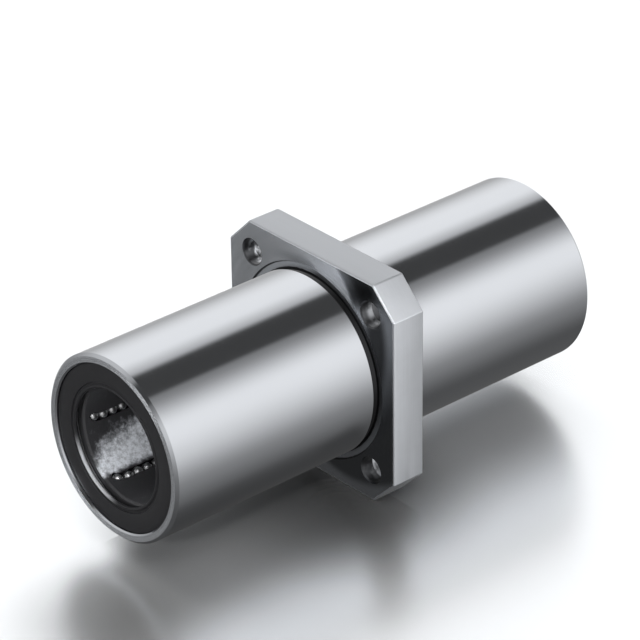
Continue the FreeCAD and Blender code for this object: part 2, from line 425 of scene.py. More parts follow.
def land_columns(sizes):
    """Angles of a ring's corners, as (on a plain ring, on a ring with lands, lies on a land)."""
    half = sizes.land_width / 2
    top = math.asin(half / sizes.land_radius)
    foot = math.asin(half / sizes.pocket_radius)
    step = math.tau / CIRCUITS / sizes.segments
    inner = int(foot / step)
    outside = range(inner + 1, sizes.segments - inner)
    clear_of_land = foot * 1.05
    columns = []
    for land in range(CIRCUITS):
        middle = sizes.first_land + land * math.tau / CIRCUITS
        columns += [(middle + k * step, middle + k * step, True) for k in range(-inner, inner + 1)]
        columns += [(middle + foot, middle + top, True), (middle + foot, middle + foot, False)]
        columns += [
            (middle + k * step, middle + k * step, False) for k in outside
            if min(k, sizes.segments - k) * step > clear_of_land
        ]
        following = middle + math.tau / CIRCUITS
        columns += [(following - foot, following - foot, False), (following - foot, following - top, True)]
    return columns


def sleeve_ring(bm, columns, x, radius, land=None):
    """Ring of the sleeve's corners, with its lands standing in where a land radius is given."""
    corners = []
    for plain, landed, on_land in columns:
        turn = plain if land is None else landed
        reach = land if land is not None and on_land else radius
        corners.append(bm.verts.new((x, reach * math.cos(turn), reach * math.sin(turn))))
    return corners


def end_profile(sizes):
    """Bore of one end from its outer chamfer to the middle shoulder, as (depth, radius, land, finish)."""
    seat = SLEEVE_RADIUS - sizes.end_wall
    groove = seat + sizes.groove_depth
    pocket = sizes.pocket_radius
    return [
        (sizes.end_chamfer, SLEEVE_RADIUS, None, GROUND),
        (0.0, SLEEVE_RADIUS - sizes.end_chamfer, None, TURNED),
        (0.0, seat + sizes.mouth_chamfer, None, GROUND),
        (sizes.mouth_chamfer, seat, None, BORED),
        (sizes.groove_start, seat, None, BORED),
        (sizes.groove_start, groove, None, BORED),
        (sizes.groove_end, groove, None, BORED),
        (sizes.groove_end, pocket, None, BORED),
        (sizes.land_start, pocket, None, BORED),
        (sizes.land_start, pocket, sizes.land_radius, BORED),
        (sizes.land_end, pocket, sizes.land_radius, BORED),
        (sizes.land_end, pocket, None, BORED),
        (HALF_LENGTH - sizes.shoulder, pocket, None, BORED),
        (HALF_LENGTH - sizes.shoulder, sizes.land_radius, None, BORED),
    ]


def outside_profile(sizes):
    """Outside of the sleeve from its front grinding relief to its rear one, as (x, radius)."""
    relief = SLEEVE_RADIUS - sizes.relief_depth
    start = FLANGE_FACE + sizes.relief_width
    foot = start - sizes.relief_depth
    return [(-start, SLEEVE_RADIUS), (-foot, relief), (foot, relief), (start, SLEEVE_RADIUS)]


def sleeve_mesh(sizes):
    """Sleeve as one closed surface."""
    bm = bmesh.new()
    columns = land_columns(sizes)
    bores = {}
    for side in (-1, 1):
        bores[side] = [
            (sleeve_ring(bm, columns, side * (HALF_LENGTH - depth), radius, land), finish)
            for depth, radius, land, finish in end_profile(sizes)
        ]
        for (first, finish), (second, _) in zip(bores[side], bores[side][1:]):
            skin(bm, first, second, finish)
    outside = [sleeve_ring(bm, columns, x, radius) for x, radius in outside_profile(sizes)]
    skinned(bm, outside, DARK)
    skin(bm, bores[-1][0][0], outside[0], GROUND)
    skin(bm, outside[-1], bores[1][0][0], GROUND)
    skin(bm, bores[-1][-1][0], bores[1][-1][0], BORED)
    return closed_mesh("sleeve_finish", bm)


def flange_outline(sizes, inset):
    """Corners of the flange's outline, four sides and four cut corners with round edges between, inset."""
    reach = BOLT_CIRCLE_RADIUS + sizes.counterbore_radius + sizes.corner_wall
    sides = 2 * BOLT_COUNT
    turn = math.tau / sides
    corners = []
    for side in range(sides):
        here, after = (FLANGE_HALF, reach) if side % 2 == 0 else (reach, FLANGE_HALF)
        normal_here = side * turn
        radius = sizes.corner_round
        near, far = here - radius, after - radius
        along = (far - near * math.cos(turn)) / math.sin(turn)
        across = Vector((math.cos(normal_here), math.sin(normal_here)))
        onward = Vector((-math.sin(normal_here), math.cos(normal_here)))
        centre = across * near + onward * along
        for k in range(ROUND_STEPS + 1):
            bend = normal_here + turn * k / ROUND_STEPS
            corners.append(centre + Vector((math.cos(bend), math.sin(bend))) * (radius - inset))
    return corners


def plate_face(bm, loops, holes, finish):
    """Flat face between rings of corners that all lie in one plane across the axis."""
    corners = [corner for loop in loops for corner in loop]
    edges = []
    start = 0
    for loop in loops:
        count = len(loop)
        edges += [(start + k, start + (k + 1) % count) for k in range(count)]
        start += count
    flat = [Vector((corner.co.y, corner.co.z)) for corner in corners]
    points, _, triangles, origins, _, _ = delaunay_2d_cdt(flat, edges, [], 1, 1e-9)
    for triangle in triangles:
        middle = sum((points[k] for k in triangle), Vector((0.0, 0.0))) / 3
        if any((middle - centre).length < radius for centre, radius in holes):
            continue
        face = bm.faces.new([corners[origins[k][0]] for k in triangle])
        face.material_index = finish


def bolt_centres():
    step = math.tau / BOLT_COUNT
    return [
        Vector((math.cos((k + 0.5) * step), math.sin((k + 0.5) * step))) * BOLT_CIRCLE_RADIUS
        for k in range(BOLT_COUNT)
    ]


def flange_mesh(sizes):
    """Square flange as one closed plate round the sleeve."""
    bm = bmesh.new()
    hub = SLEEVE_RADIUS - sizes.relief_depth - sizes.hub_overlap
    inner = {}
    for side, width in ((-1, sizes.front_recess), (1, sizes.rear_recess)):
        floor = side * (FLANGE_FACE - sizes.recess_depth)
        radius = SLEEVE_RADIUS + width
        points = ((floor, hub), (floor, radius), (side * FLANGE_FACE, radius))
        rings = [circle(bm, x, reach, RING_SEGMENTS) for x, reach in points]
        skin(bm, rings[0], rings[1], RECESS)
        skin(bm, rings[1], rings[2], HARDENED)
        inner[side] = (rings[0], rings[-1], radius)
    skin(bm, inner[-1][0], inner[1][0], HARDENED)

    centres = bolt_centres()
    deep = FLANGE_FACE - sizes.counterbore_depth
    hole_rows = [
        (-FLANGE_FACE, BOLT_HOLE_RADIUS + sizes.hole_chamfer),
        (-FLANGE_FACE + sizes.hole_chamfer, BOLT_HOLE_RADIUS),
        (deep, BOLT_HOLE_RADIUS),
        (deep, sizes.counterbore_radius),
        (FLANGE_FACE - sizes.hole_chamfer, sizes.counterbore_radius),
        (FLANGE_FACE, sizes.counterbore_radius + sizes.hole_chamfer),
    ]
    holes = []
    for centre in centres:
        rings = [circle(bm, x, radius, HOLE_SEGMENTS, centre) for x, radius in hole_rows]
        skinned(bm, rings, HARDENED)
        holes.append((rings[0], rings[-1]))

    edge = sizes.edge_round
    turns = [math.pi / 2 * k / ROUND_STEPS for k in range(ROUND_STEPS + 1)]
    front = [
        (-FLANGE_FACE + edge * (1 - math.sin(turn)), edge * (1 - math.cos(turn)))
        for turn in reversed(turns)
    ]
    rows = front + [(-x, inset) for x, inset in reversed(front)]
    outlines = [
        [bm.verts.new((x, corner.x, corner.y)) for corner in flange_outline(sizes, inset)]
        for x, inset in rows
    ]
    skinned(bm, outlines, MILLED)

    for side, outline, row in ((-1, outlines[0], 0), (1, outlines[-1], -1)):
        _, ring, radius = inner[side]
        voids = [(Vector((0.0, 0.0)), radius)] + [(centre, hole_rows[row][1]) for centre in centres]
        plate_face(bm, [outline, ring] + [pair[row] for pair in holes], voids, FACED)
    return closed_mesh("flange_finish", bm)


class BEARING_OT_sleeve(bpy.types.Operator):
    """Build the ground sleeve"""

    bl_idname = "bearing.sleeve"
    bl_label = "Sleeve"

    def execute(self, context):
        finish = context.scene.bearing_finish
        steels = [ground_steel(finish), turned_steel(finish), bored_steel(finish), hardened_steel(finish)]
        mesh = sleeve_mesh(context.scene.bearing_sleeve)
        piece = put_in_scene("sleeve_finish", mesh, steels)
        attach(piece, HOUSING)
        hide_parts("flanged_sleeve")
        return {"FINISHED"}


class BEARING_OT_flange(bpy.types.Operator):
    """Build the square flange with its four bolt holes"""

    bl_idname = "bearing.flange"
    bl_label = "Square Flange"

    def execute(self, context):
        finish = context.scene.bearing_finish
        steels = [faced_steel(finish), milled_steel(finish), hardened_steel(finish), recess_steel(finish)]
        mesh = flange_mesh(context.scene.bearing_sleeve)
        piece = put_in_scene("flange_finish", mesh, steels)
        piece.visible_glossy = False
        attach(piece, HOUSING)
        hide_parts("flanged_sleeve")
        return {"FINISHED"}


# End seals

class SealSizes(bpy.types.PropertyGroup):
    """Section of an end seal."""

    segments: amount("Segments", 192, 32, "Corners round a seal")
    edge_round: length("Edge round", 0.25, "Rounding of the seal's outer edge")
    face_width: length("Face width", 4.1, "Width of the flat face")
    groove: length("Groove", 0.28, "Depth of the groove between the face and the lip")
    lip_radius: length("Lip radius", 12.5, "Radius of the lip, which meets the shaft")
    lip_thickness: length("Lip thickness", 0.8, "Width of the rounded lip")
    back_width: length("Back width", 1.5, "Width of the undercut behind the lip")


def arc_points(centre, radius, start, end, steps):
    """Points on an arc in the (depth, radius) plane, from one angle to another in degrees."""
    turns = [math.radians(start + (end - start) * k / steps) for k in range(steps + 1)]
    return [(centre[0] + radius * math.cos(turn), centre[1] + radius * math.sin(turn)) for turn in turns]


def seal_profile(sizes, front, back, outer):
    """Loop of (depth, radius) points, from the outer edge over the face to the lip and behind it."""
    edge = sizes.edge_round
    face_edge = outer - sizes.face_width
    bead = sizes.lip_thickness / 2
    groove_floor = front + sizes.groove
    points = [(back, outer)]
    points += arc_points((front + edge, outer - edge), edge, 90, 180, ROUND_STEPS)
    points += arc_points((front + edge / 2, face_edge + edge / 2), edge / 2, 180, 270, ROUND_STEPS)
    points += [(groove_floor, face_edge - edge / 4), (groove_floor, sizes.lip_radius + sizes.lip_thickness)]
    points += arc_points((front + bead, sizes.lip_radius + bead), bead, 110, 300, LIP_STEPS)
    points += [(back, sizes.lip_radius + sizes.back_width)]
    return points


class BEARING_OT_seals(bpy.types.Operator):
    """Build the rubber seal at each end"""

    bl_idname = "bearing.seals"
    bl_label = "End Seals"

    def execute(self, context):
        sizes = context.scene.bearing_seal
        rubber = seal_rubber(context.scene.bearing_finish)
        for end, side in ENDS.items():
            low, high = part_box(end + "_seal")
            depths = sorted(HALF_LENGTH - abs(x) for x in (low.x, high.x))
            profile = seal_profile(sizes, depths[0], depths[1], high.z)
            outline = [(side * (HALF_LENGTH - depth), radius) for depth, radius in profile]
            name = end + "_seal_finish"
            mesh = turned_mesh(name, outline, sizes.segments)
            piece = put_in_scene(name, mesh, [rubber])
            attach(piece, HOUSING)
            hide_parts(end + "_seal")
        return {"FINISHED"}


# Balls

class BallSizes(bpy.types.PropertyGroup):
    """The balls and how many are in each stretch of track."""

    diameter: length("Diameter", 2.381, "Diameter of a ball")
    per_row: amount("Per row", 16, 2, "Balls in a straight row")
    per_turn: amount("Per turn", 3, 1, "Balls in a turn")
    smoothness: IntProperty(name="Smoothness", description="Subdivisions of a ball", default=2, min=1, max=3)


BALL_TRACK_INPUTS = (
    ("Balls", "Int"),
    ("Ball Radius", "Float"),
    ("Smoothness", "Int"),
    ("First Ball", "Vector"),
    ("Step", "Vector"),
    ("Pivot", "Vector"),
    ("Axis", "Vector"),
    ("Swing", "Float"),
    ("Finish", "Material"),
)


def ball_track_tree():
    """Geometry nodes for one stretch of track, whose balls follow a line or swing round a pivot."""
    group = bpy.data.node_groups.new("Ball Track", "GeometryNodeTree")
    group.interface.new_socket("Balls", in_out="OUTPUT", socket_type="NodeSocketGeometry")
    for name, kind in BALL_TRACK_INPUTS:
        group.interface.new_socket(name, in_out="INPUT", socket_type="NodeSocket" + kind)
    tree = Tree(group)
    given = tree.add("NodeGroupInput")
    line = tree.add(
        "GeometryNodeMeshLine",
        {"Count": given["Balls"], "Start Location": given["First Ball"], "Offset": given["Step"]},
        mode="OFFSET",
    )
    swung = tree.add(
        "ShaderNodeVectorRotate",
        {
            "Vector": tree.add("GeometryNodeInputPosition")["Position"],
            "Center": given["Pivot"],
            "Axis": given["Axis"],
            "Angle": tree.add("GeometryNodeInputIndex")["Index"] * given["Swing"],
        },
        rotation_type="AXIS_ANGLE",
    )
    placed = tree.add("GeometryNodeSetPosition", {"Geometry": line["Mesh"], "Position": swung["Vector"]})
    ball = tree.add(
        "GeometryNodeMeshIcoSphere", {"Radius": given["Ball Radius"], "Subdivisions": given["Smoothness"]}
    )
    copies = tree.add(
        "GeometryNodeInstanceOnPoints", {"Points": placed["Geometry"], "Instance": ball["Mesh"]}
    )
    real = tree.add("GeometryNodeRealizeInstances", {"Geometry": copies["Instances"]})
    dressed = tree.add(
        "GeometryNodeSetMaterial", {"Geometry": real["Geometry"], "Material": given["Finish"]}
    )
    tree.add("NodeGroupOutput", {0: dressed["Geometry"]})
    return group


def baked(name, group, values):
    """Plain mesh object of a geometry node tree with its named inputs set."""
    carrier = linked(name + "_carrier", bpy.data.meshes.new(name + "_carrier"))
    modifier = carrier.modifiers.new("Track", "NODES")
    modifier.node_group = group
    for item in group.interface.items_tree:
        if item.in_out == "INPUT":
            modifier[item.identifier] = values[item.name]
    graph = bpy.context.evaluated_depsgraph_get()
    mesh = bpy.data.meshes.new_from_object(carrier.evaluated_get(graph))
    bpy.data.objects.remove(carrier)
    mesh.name = name
    mesh.shade_smooth()
    return linked(name, mesh)


def box_middle(node):
    low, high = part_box(node)
    return (low + high) / 2


def track_values(end, number, stretch, sizes):
    """Places of one group of balls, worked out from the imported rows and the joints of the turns."""
    load = box_middle("%s_load_row_balls_%d" % (end, number))
    back = box_middle("%s_return_row_balls_%d" % (end, number))
    radius = sizes.diameter / 2
    values = {"Pivot": (0, 0, 0), "Axis": (1, 0, 0), "Swing": 0.0, "Step": (0, 0, 0), "Balls": sizes.per_turn}
    if stretch.endswith("row"):
        low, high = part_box("%s_%s_balls_%d" % (end, stretch, number))
        start = load if stretch == "load_row" else back
        pitch = (high.x - low.x - sizes.diameter) / (sizes.per_row - 1)
        values["Balls"] = sizes.per_row
        values["First Ball"] = (low.x + radius, start.y, start.z)
        values["Step"] = (pitch, 0, 0)
        return values
    joint = JOINTS["%s_circuit_%d_%s" % (end, number, stretch)]
    pivot = Vector(joint["pos_m"])
    across = back - load
    across.x = 0.0
    spoke = across * -0.5
    outwards = ENDS[end] * (1 if stretch == "outer_turn" else -1)
    axis = spoke.cross(Vector((outwards, 0, 0))).normalized()
    step = math.pi / sizes.per_turn
    first = pivot + Matrix.Rotation(step / 2, 3, axis) @ spoke
    values.update({"First Ball": tuple(first), "Pivot": tuple(pivot), "Axis": tuple(axis), "Swing": step})
    return values


class BEARING_OT_balls(bpy.types.Operator):
    """Build the balls of every track, one piece for each stretch that moves"""

    bl_idname = "bearing.balls"
    bl_label = "Balls"

    def execute(self, context):
        sizes = context.scene.bearing_balls
        group = ball_track_tree()
        common = {
            "Ball Radius": sizes.diameter / 2,
            "Smoothness": sizes.smoothness,
            "Finish": ball_steel(context.scene.bearing_finish),
        }
        for end in ENDS:
            for number in range(1, CIRCUITS + 1):
                for stretch in ("load_row", "return_row", "outer_turn", "inner_turn"):
                    values = track_values(end, number, stretch, sizes)
                    node = "%s_%s_balls_%d" % (end, stretch, number)
                    piece = baked(node + "_finish", group, {**values, **common})
                    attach(piece, "%s_%s_%d" % (end, stretch, number))
                    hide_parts(node)
        return {"FINISHED"}


# Cages and rings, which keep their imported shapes

def dress(node, finish):
    """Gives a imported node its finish."""
    mesh = frame["nodes"][node].data
    mesh.materials.clear()
    mesh.materials.append(finish)


class BEARING_OT_cages(bpy.types.Operator):
    """Give both ball cages their moulded finish"""

    bl_idname = "bearing.cages"
    bl_label = "Ball Cages"

    def execute(self, context):
        plastic = cage_plastic(context.scene.bearing_finish)
        for end in ENDS:
            dress(end + "_retainer", plastic)
        return {"FINISHED"}


class BEARING_OT_rings(bpy.types.Operator):
    """Give the seal washers and snap rings their steels"""

    bl_idname = "bearing.rings"
    bl_label = "Washers and Snap Rings"

    def execute(self, context):
        finish = context.scene.bearing_finish
        washer = washer_steel(finish)
        spring = spring_steel(finish)
        for end in ENDS:
            dress(end + "_seal_washer", washer)
            dress(end + "_snap_ring", spring)
        return {"FINISHED"}


# Finishes

class Finishes(bpy.types.PropertyGroup):
    """Colours and roughness of the surfaces."""

    steel: tint("Steel", (0.695, 0.715, 0.75), "Ground and polished hardened steel")
    polish: share("Polish roughness", 0.12, "Roughness of the ground outer surface")
    milled: tint("Milled steel", (0.84, 0.865, 0.905), "Sides of the flange")
    satin: share("Satin roughness", 0.5, "Roughness of the flange's sides")
    faced: tint("Faced steel", (0.68, 0.71, 0.755), "Faces of the flange")
    hardened: tint("Hardened steel", (0.12, 0.123, 0.13), "Surfaces left dark by the heat treatment")
    ball: tint("Ball steel", (0.82, 0.83, 0.84), "Lapped balls")
    spring: tint("Spring steel", (0.10, 0.095, 0.09), "Oil-blackened snap rings")
    rubber: tint("Rubber", (0.008, 0.008, 0.009), "Seals")
    # Colour of the painted highlight on one side of a seal's lip
    lip: tint("Worn lip", (0.34, 0.345, 0.36), "Rubbed edge of a seal's lip")
    plastic: tint("Plastic", (0.024, 0.024, 0.026), "Ball cages")
    # Colour of the painted pool of light in a cage's bore, between two ball rows
    painted_light_pool: tint("Film", (0.64, 0.665, 0.71), "Light film on the cage between two ball rows")


def ground_steel(finish):
    """Outer surface of the sleeve, ground round and polished."""
    steel = Material("ground_steel", Metallic=1.0)
    lines = steel.noise((9000.0, 60.0, 60.0), 3.0, 0.6)
    clouds = steel.noise(90.0, 2.0)
    steel.colour(clouds, times(finish.steel, 0.97), finish.steel)
    steel.rough(finish.polish + (lines - 0.5) * 0.06 + (clouds - 0.5) * 0.03)
    steel.bump(lines, 0.6 * MICRON)
    return steel.material


def turned_steel(finish):
    """End faces of the sleeve, turned so that fine grooves run round the axis."""
    steel = Material("turned_steel", Metallic=1.0)
    steel.colour(0.6, finish.faced, finish.milled)
    fine = steel.bands(steel.radius() + steel.x.absolute(), 40000.0)
    steel.rough(0.22 + fine * 0.08)
    steel.grooved(fine, 3.0)
    return steel.material


def faced_steel(finish):
    """Flange faces, turned with fine grooves, with painted shade between two edges that sweep outwards from the
    recess, darkest in its middle, and painted shade next to the recess.
    """
    steel = Material("faced_steel", Metallic=1.0)
    clouds = steel.noise(140.0, 3.0)
    fine = steel.bands(steel.radius(), 40000.0)
    swept = steel.turn(-1.0) - (steel.radius() - RECESS_RADIUS) * SWEEP_PER_METRE
    # Painted shade between two edges that sweep outwards from the recess, where the grooves are weaker
    painted_shade_sector = swept.between(*PAINTED_SHADE_ANGLES)
    # Painted shade on the face next to the recess
    by_recess = 1.0 - steel.radius().rise(RECESS_RADIUS, RECESS_RADIUS + 3.0 * MM)
    shade_by_recess = swept.between(*RECESS_SHADE_ANGLES) * by_recess
    worn = steel.mixed(clouds, times(finish.faced, 0.9), finish.faced)
    clouded_and_shaded = steel.mixed(shade_by_recess, worn, times(finish.faced, 0.55))
    # Darkest part of the painted shade
    darkest_painted_shade = swept.between(*DARKEST_SHADE_ANGLES)
    painted_shade = steel.mixed(darkest_painted_shade, times(finish.faced, 0.33), times(finish.faced, 0.05))
    steel.colour(painted_shade_sector, clouded_and_shaded, painted_shade)
    steel.rough(0.2 + fine * 0.08)
    steel.grooved(fine, 2.0 - painted_shade_sector * 1.8)
    return steel.material


def milled_steel(finish):
    """Flange sides, milled along their length, with painted shade on the top and the bottom one."""
    steel = Material("milled_steel", Metallic=1.0)
    lines = steel.noise((5200.0, 45.0, 45.0), 4.0, 0.62)
    clouds = steel.noise(220.0, 3.0)
    worn = (lines - 0.5) * 0.7 + (clouds - 0.5) * 0.5 + 0.5
    # Painted shade on the level top and bottom sides
    level = steel.z.absolute().rise(FLANGE_HALF - 0.3 * MM, FLANGE_HALF - 0.1 * MM)
    bright = steel.mixed(worn, times(finish.milled, 0.8), finish.milled)
    steel.colour(level, bright, times(finish.milled, 0.7))
    steel.rough(finish.satin + (lines - 0.5) * 0.16)
    steel.bump(lines, 4 * MICRON)
    return steel.material


def hardened_steel(finish):
    """Reliefs, recess walls and bolt holes, dark from hardening, with painted shade deep in the relief and painted
    reflections in patches inside the holes.
    """
    steel = Material("hardened_steel", Metallic=1.0)
    scale = steel.noise(800.0, 4.0, 0.6)
    patch = steel.noise(420.0, 3.0, 0.6)
    # Painted reflection in patches on the bolt holes' walls, away from the front face and weaker towards -Y
    in_hole = steel.radius().rise(RECESS_RADIUS + 0.2 * MM, RECESS_RADIUS + 0.4 * MM)
    painted_hole_reflection = in_hole * (steel.x + FLANGE_FACE).rise(1.0 * MM, 2.2 * MM) * patch.rise(0.38, 0.6)
    painted_hole_reflection = painted_hole_reflection * (1.0 - (steel.y * -1.0).rise(0.0, 5.0 * MM) * 0.6)
    dark = steel.mixed(scale, times(finish.hardened, 0.4), times(finish.hardened, 1.4))
    # Painted shade in the grinding relief
    painted_relief_shade = 1.0 - steel.radius().rise(SLEEVE_RADIUS + 0.02 * MM, SLEEVE_RADIUS + 0.1 * MM)
    deep = steel.mixed(painted_relief_shade, dark, times(finish.hardened, 0.3))
    steel.colour(painted_hole_reflection, deep, finish.milled)
    steel.rough(0.3 + scale * 0.2)
    steel.bump(scale, 12 * MICRON)
    return steel.material


def bored_steel(finish):
    """Bore of the sleeve with its lands and grooves."""
    steel = Material("bored_steel", Metallic=1.0)
    lines = steel.noise((3000.0, 90.0, 90.0), 3.0)
    steel.follow(lines, finish.steel, (0.72, 0.88), (0.2, 0.15), 3 * MICRON)
    return steel.material


def recess_steel(finish):
    """Floor of the recess, turned bright in a band, with painted shade in its corners and on one side."""
    steel = Material("recess_steel", Metallic=1.0)
    scale = steel.noise(900.0, 3.0)
    # Painted shade in the recess corners and on one side
    painted_side_shade = steel.turn(-1.0).between(*SIDE_SHADE_ANGLES)
    bright = (steel.radius() + (scale - 0.5) * 0.2 * MM).between(*RECESS_BAND) * (1.0 - painted_side_shade * 0.7)
    steel.colour(bright, times(finish.hardened, 0.5), times(finish.faced, 0.8))
    steel.rough(0.42 + scale * 0.1)
    return steel.material


def ball_steel(finish):
    """Lapped balls under a trace of oil."""
    steel = Material("ball_steel", Metallic=1.0, Coat_Weight=0.12, Coat_Roughness=0.1)
    haze = steel.noise(700.0, 2.0)
    steel.colour(haze, times(finish.ball, 0.94), finish.ball)
    steel.rough(0.38 + haze * 0.08)
    return steel.material


def washer_steel(finish):
    """Pressed sheet steel."""
    steel = Material("washer_steel", Metallic=1.0)
    grain = steel.noise(2200.0, 4.0)
    steel.follow(grain, finish.steel, (0.55, 0.75), (0.3, 0.18), 4 * MICRON)
    return steel.material


def spring_steel(finish):
    """Blackened spring wire."""
    steel = Material("spring_steel", Metallic=0.9)
    grain = steel.noise(1500.0, 4.0)
    steel.follow(grain, finish.spring, (0.7, 1.3), (0.32, 0.2), 5 * MICRON)
    return steel.material


def seal_rubber(finish):
    """Moulded black rubber with a fine bloom, faint rings from its mould and a painted highlight on the lip, low
    on one side.
    """
    rubber = Material("seal_rubber", Specular_IOR_Level=0.3, Coat_Roughness=0.2)
    bloom = rubber.noise(900.0, 5.0, 0.65)
    grain = rubber.noise(5200.0, 3.0)
    rings = rubber.bands(rubber.radius(), 2600.0)
    # Painted highlight on the lip, low on one side: lighter colour and a coat
    on_lip = 1.0 - rubber.radius().rise(LIP_HIGHLIGHT_RADIUS, LIP_HIGHLIGHT_RADIUS + 0.3 * MM)
    painted_lip_highlight = rubber.turn().between(*LIP_HIGHLIGHT_ANGLES) * on_lip
    black = rubber.mixed(bloom, times(finish.rubber, 0.7), times(finish.rubber, 1.9))
    rubber.colour(painted_lip_highlight * (bloom * 0.6 + 0.5), black, finish.lip)
    rubber.rough(0.4 + bloom * 0.16 + (grain - 0.5) * 0.1)
    rubber.feed(rubber.shader.inputs["Coat Weight"], painted_lip_highlight)
    rubber.bump(grain * 0.6 + rings, 6 * MICRON)
    return rubber.material


def cage_plastic(finish):
    """Moulded black plastic with a mottled painted pool of light in the bore between two ball rows, where the
    mouth lamp also shines.
    """
    plastic = Material("cage_plastic", Specular_IOR_Level=0.5)
    grain = plastic.noise(2600.0, 4.0, 0.6)
    blotch = plastic.noise(1100.0, 5.0, 0.7)
    broad = plastic.noise(300.0, 3.0, 0.6)
    turn = plastic.turn()
    in_bore = 1.0 - plastic.radius().rise(CAGE_BORE_RADIUS + 0.6 * MM, CAGE_BORE_RADIUS + 0.65 * MM)
    # Painted pool of light between two ball rows, fading with depth from the mouth, mottled
    depth = HALF_LENGTH - plastic.x.absolute() - (turn + 60.0) * LIGHT_POOL_SLANT_PER_DEGREE
    reach = depth.between(*LIGHT_POOL_DEPTHS)
    slanted = turn - depth * LIGHT_POOL_TURN_PER_METRE
    sector = turn.rise(-62.0, -52.0) * (1.0 - slanted.rise(-48.0, -15.0))
    speckle = plastic.noise(2300.0, 3.0, 0.75)
    ragged = (sector * reach * 1.5 + (blotch - 0.5) * 1.5 + (broad - 0.5) * 1.3).rise(0.2, 1.6)
    painted_light_pool = ragged * in_bore * (1.0 - speckle.rise(0.45, 0.75) * 0.35) * (blotch.rise(0.3, 0.62) * 0.45 + 0.6)
    base = plastic.mixed(grain, times(finish.plastic, 0.6), times(finish.plastic, 1.6))
    plastic.colour(painted_light_pool, base, finish.painted_light_pool)
    plastic.rough(0.38 + grain * 0.12)
    plastic.bump(grain + blotch, 6 * MICRON)
    return plastic.material


# Studio

class Studio(bpy.types.PropertyGroup):
    """Floor, light and camera."""

    floor_size: length("Floor size", 6000.0, "Side of the floor")
    floor_gloss: share("Floor gloss", 0.8, "Share of a reflection in the floor, seen at a low angle")
    floor_roughness: share("Floor roughness", 0.27, "Blur of what the floor reflects")
    contact_reach: length("Contact reach", 35.0, "How far the bearing darkens the floor round it")
    top_light: FloatProperty(name="Top light", description="Strength of the overhead light", default=3.0)
    mouth_light: FloatProperty(
        name="Mouth light", description="Power of the light into the front end", default=4.0
    )
    azimuth: angle("Azimuth", -41.117, "Camera's direction round the bearing, from the -Y side")
    elevation: angle("Elevation", 29.168, "Camera's height above the horizon")
    roll: angle("Roll", -0.679, "Camera's turn about its own axis")
    distance: length("Distance", 778.716, "Camera's distance from the bearing")
    offset: FloatVectorProperty(
        name="Offset",
        description="Camera's shift to the right and upwards from a line through the flange's front face",
        default=(1.789 * MM, 8.279 * MM),
        size=2,
        unit="LENGTH",
    )
    focal_length: FloatProperty(
        name="Focal length", description="Focal length in millimetres for a sensor of 36 mm", default=214.91
    )


SENSOR_WIDTH = 36.0
DIM_LIGHT = 0.06
SOFT_BOXES = (
    # Direction, angles from it where the light is still full and where it is gone, level
    ((-0.95, 0.22, 0.12), 9.0, 16.0, 2.4),
    ((-0.856, 0.515, 0.044), 7.0, 13.0, 0.5),
    ((-0.30, -0.50, 0.81), 11.0, 17.0, 6.0),
    ((0.10, -0.98, -0.10), 14.0, 26.0, 1.6),
)
FLOOR_PAINTED_SHADOWS = (
    # X, Y and radius in millimetres of a painted shadow on the floor, how much darker
    (-10.0, -16.0, 34.0, 0.68),
    (-72.0, -16.0, 28.0, 0.42),
)
FLAG_HEIGHT = 2.4 * (FLANGE_HALF - SLEEVE_RADIUS)
FLAG_END = 0.2 * HALF_LENGTH
FLAG_OFFSET = 6 * MM
FOOT_REACH = 1.2 * FLANGE_HALF
SINK = 0.02 * MM
DARK_REFLECTION_CARDS = (
    # Name of a dark card seen only in reflections as a painted dark reflection, two opposite corners with their
    # heights above the floor, share that fades
    ("shade", (-1.1 * HALF_LENGTH, -1.3 * FLANGE_HALF, -SINK), (FLAG_END, FLANGE_HALF, -SINK), 0.6),
    ("under_flag", (-HALF_LENGTH, FLAG_OFFSET, -FLAG_HEIGHT), (FLAG_END, FLAG_OFFSET, FLAG_HEIGHT), 0.3),
    ("foot_flag", (0.0, -FOOT_REACH, -FLAG_HEIGHT), (0.0, FOOT_REACH, FLAG_HEIGHT), 0.6),
)


def studio_world():
    """Two long soft boxes along the bearing with a dark gap overhead, and four small ones."""
    world = bpy.data.worlds.new("studio")
    tree = Tree(empty_tree(world))
    heading = tree.add("ShaderNodeTexCoord")["Generated"]
    parts = tree.parts(heading)
    # Both angles are in degrees from overhead, one towards the back and one towards the camera's side
    lean = parts["Y"].math("ARCTAN2", parts["Z"]).in_degrees()
    along_bore = parts["X"].rise(0.68, 0.86) * (1.0 - parts["Z"].rise(0.1, 0.22))
    across = (parts["X"].rise(0.1, 0.45) * 0.4 + 0.6) * (1.0 - along_bore * 0.9)
    back_edge = lean.rise(12.5, 20.5) * 0.5 + lean.rise(15.0, 40.0) * 0.5
    back_box = back_edge * (1.0 - lean.rise(124.0, 138.0) * 0.9) * across
    back_level = 1.0 - lean.rise(56.0, 104.0) * 0.58
    front = lean * -1.0
    front_box = front.rise(14.0, 19.0) * 0.2 + front.rise(17.0, 57.0) * 0.8
    front_level = 1.0 - front.rise(62.0, 128.0) * 0.68 - front.rise(100.0, 170.0) * 0.28
    near = parts["X"].rise(-0.45, -0.05) * 0.3 + 0.7
    light = DIM_LIGHT + back_box * back_level + front_box * front_level * near
    for direction, full, gone, level in SOFT_BOXES:
        facing = tree.vectors("DOT_PRODUCT", heading, Vector(direction).normalized(), outcome="Value")
        light = light + (1.0 - facing.math("ARCCOSINE").in_degrees().rise(full, gone)) * level
    seen = tree.add("ShaderNodeLightPath")["Is Camera Ray"]
    strength = light * (1.0 - seen) + seen
    background = tree.add("ShaderNodeBackground", {"Color": (1.0, 1.0, 1.0, 1.0), "Strength": strength})
    tree.add("ShaderNodeOutputWorld", {"Surface": background["Background"]})
    return world


